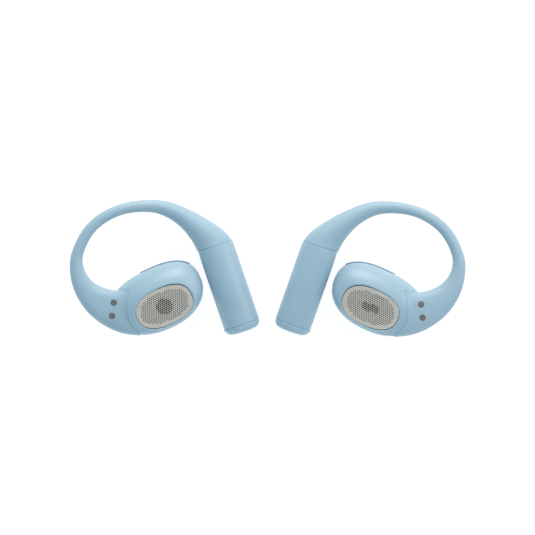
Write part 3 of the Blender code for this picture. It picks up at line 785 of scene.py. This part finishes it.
# Stem: a tube for the cell, and its end cap
stem = {
    "swing": 19.0, "lean": 3.5, "cellDepth": 11.6,
    "radius": 4.95, "wall": 0.7, "length": 22.4, "top": -0.05,
    "neck": 0.12, "neckLength": 3.2, "neckSteps": 8,
    # a broken edge: how far in, how far down
    "edge": ((0.06, 0.0), (0.02, 0.02), (0.0, 0.07)),
    "capInset": 0.05, "capHeight": 2.15, "capRound": 1.9, "capGap": 0.06,
    "spigotGap": 0.15, "spigotHigh": 1.2,
    # the cap's flat crown: share of the radius, height over the end
    "crownEdge": 0.12, "crown": ((0.45, 0.045), (0.25, 0.015), (0.0, 0.0)),
    # half length, half height and reach of the small nub at the cap's rim, and where it sits
    "nub": (0.5, 0.28, 0.16), "nubDrop": 0.05, "nubSunk": 0.6,
    "sides": 128,
}
stemTurn = turned(-stem["swing"], "Z") @ turned(stem["lean"] - 90, "X")
stemUp = stemTurn.to_3x3() @ Vector((0, 0, 1))
stemOrigin = middleOf("left_battery_cell") + stemUp * stem["cellDepth"] * mm
stemPlace = Matrix.Translation(stemOrigin) @ stemTurn


def brokenEdge(radius, height, down=1):
    # the small soft edge of a turned part, from its face to its side
    return [(radius - inset, height - down * drop) for inset, drop in stem["edge"]]


def makeStem():
    radius, top, bottom = stem["radius"], stem["top"], -stem["length"]
    inner = radius - stem["wall"]
    neck = radius - stem["neck"]
    housing = [(inner, top)] + brokenEdge(neck, top)
    neckTop = housing[-1][1]
    for k in range(1, stem["neckSteps"] + 1):
        share = k / stem["neckSteps"]
        swell = stem["neck"] * math.sin(share * math.pi / 2)
        housing.append((neck + swell, neckTop - stem["neckLength"] * share))
    housing += brokenEdge(radius, bottom, -1)[::-1] + [(inner, bottom)]
    tube = spunPiece("left_stem_tube", housing, stemPlace, steps=stem["sides"])

    capTop = bottom - stem["capGap"]
    capEnd = capTop - stem["capHeight"]
    capRadius = radius - stem["capInset"]
    spigot = inner - stem["spigotGap"]
    high = capTop + stem["spigotHigh"]
    bend = stem["capRound"]
    cap = [(0.0, high), (spigot, high), (spigot, capTop)] + brokenEdge(capRadius, capTop)
    cap += roundedCorner(capRadius - bend, capEnd + stem["crownEdge"] + bend, bend, -4, -80, 12)
    cap += [(capRadius * share, capEnd + rise) for share, rise in stem["crown"]]
    lid = spunPiece("left_stem_lid", cap, stemPlace, steps=stem["sides"])

    halfLength, halfHeight, reach = stem["nub"]
    place = Vector((capRadius - reach * stem["nubSunk"], 0.0, capTop - halfHeight - stem["nubDrop"]))
    bm = bmesh.new()
    bmesh.ops.create_uvsphere(bm, u_segments=24, v_segments=16, radius=1.0)
    bmesh.ops.scale(bm, vec=(reach * 2, halfLength, halfHeight), verts=bm.verts)
    bmesh.ops.translate(bm, vec=place, verts=bm.verts)
    nub = finished(bm, "lidNub", stemPlace)
    carve(lid, nub, "UNION")
    discard(nub)
    return tube, lid


def dressCadNodes(looks):
    dressing = {
        "speaker_gasket": "foamBlack", "speaker_basket": "frameBlack", "speaker_diaphragm": "filmClear",
        "voice_coil": "copperWire", "speaker_magnet": "nickelPlate", "speaker_yoke": "steelSheet",
        "main_board": "boardGreen", "main_chip": "chipBlack", "microphone": "steelSheet",
        "antenna": "copperWire", "key_switch": "steelSheet", "contact_board": "boardGreen",
        "case_magnet": "nickelPlate", "battery_cell": "cellWrap", "battery_board": "boardGreen",
    }
    for side in sides:
        for node, look in dressing.items():
            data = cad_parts[f"{side}_{node}"].data
            data.materials.clear()
            data.materials.append(looks[look])


makeStudio()
looks = {name: makeFinish(name) for name in finishes}
print("materials ready")

cup, cover = makePodShells()
print("pod shells ready")
leftPlate = makeGrille("left_grille_plate", grille["bar"])
rightPlate = makeGrille("rightPlate", grille["dot"])
cloth = makeCloth()
print("grille ready")
sleeve = makeSleeve(cover)
pads = makeContacts(sleeve)
print("hook sleeve and contacts ready")
keyCap = makeKey(cup, cover)
print("key ready")
tube, lid = makeStem()
wire = makeWire("left_memory_wire_core", hook["wireOffset"], hook["wireRadius"])
cable = makeWire("left_hook_lead", -hook["wireOffset"], hook["cableRadius"])
print("stem and wires ready")

# piece, finish, record slot, body, CAD nodes that it stands for
plan = [
    (cup, "blueShell", "shell", "pod", ["outer_shell"]),
    (cover, "blueShell", "shell", "pod", ["inner_shell"]),
    (leftPlate, "grilleGrey", "grille", "pod", ["speaker_grille"]),
    (cloth, "clothBlack", "cloth", "pod", ["acoustic_mesh"]),
    (sleeve, "blueSilicone", "silicone", None, ["hook_base", "hook_flex", "hook_shoulder"]),
    (pads[0], "contactMetal", "contact", "pod", ["charging_contact_upper"]),
    (pads[1], "contactMetal", "contact", "pod", ["charging_contact_lower"]),
    (keyCap, "blueKeyPaintedShade", "key", "key", ["control_key"]),
    (tube, "blueShell", "shell", "stem", ["stem_housing"]),
    (lid, "blueShell", "shell", "stem", ["stem_cap"]),
    (wire, "steelSheet", "steel", None, ["memory_wire"]),
    (cable, "cableRed", "cable", None, ["hook_cable"]),
]
for original, finish, slot, body, nodes in plan:
    source = rightPlate if original is leftPlate else original
    twin = mirrored(source, original.name.replace("left_", "right_"))
    for side, piece in zip(sides, (original, twin)):
        piece.data.materials.clear()
        piece.data.materials.append(looks[finish])
        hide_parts(*[f"{side}_{node}" for node in nodes])
        if body:
            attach(piece, f"{side}_{body}")
            continue
        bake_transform(piece)
discard(rightPlate)
dressCadNodes(looks)
print("pieces dressed and placed")
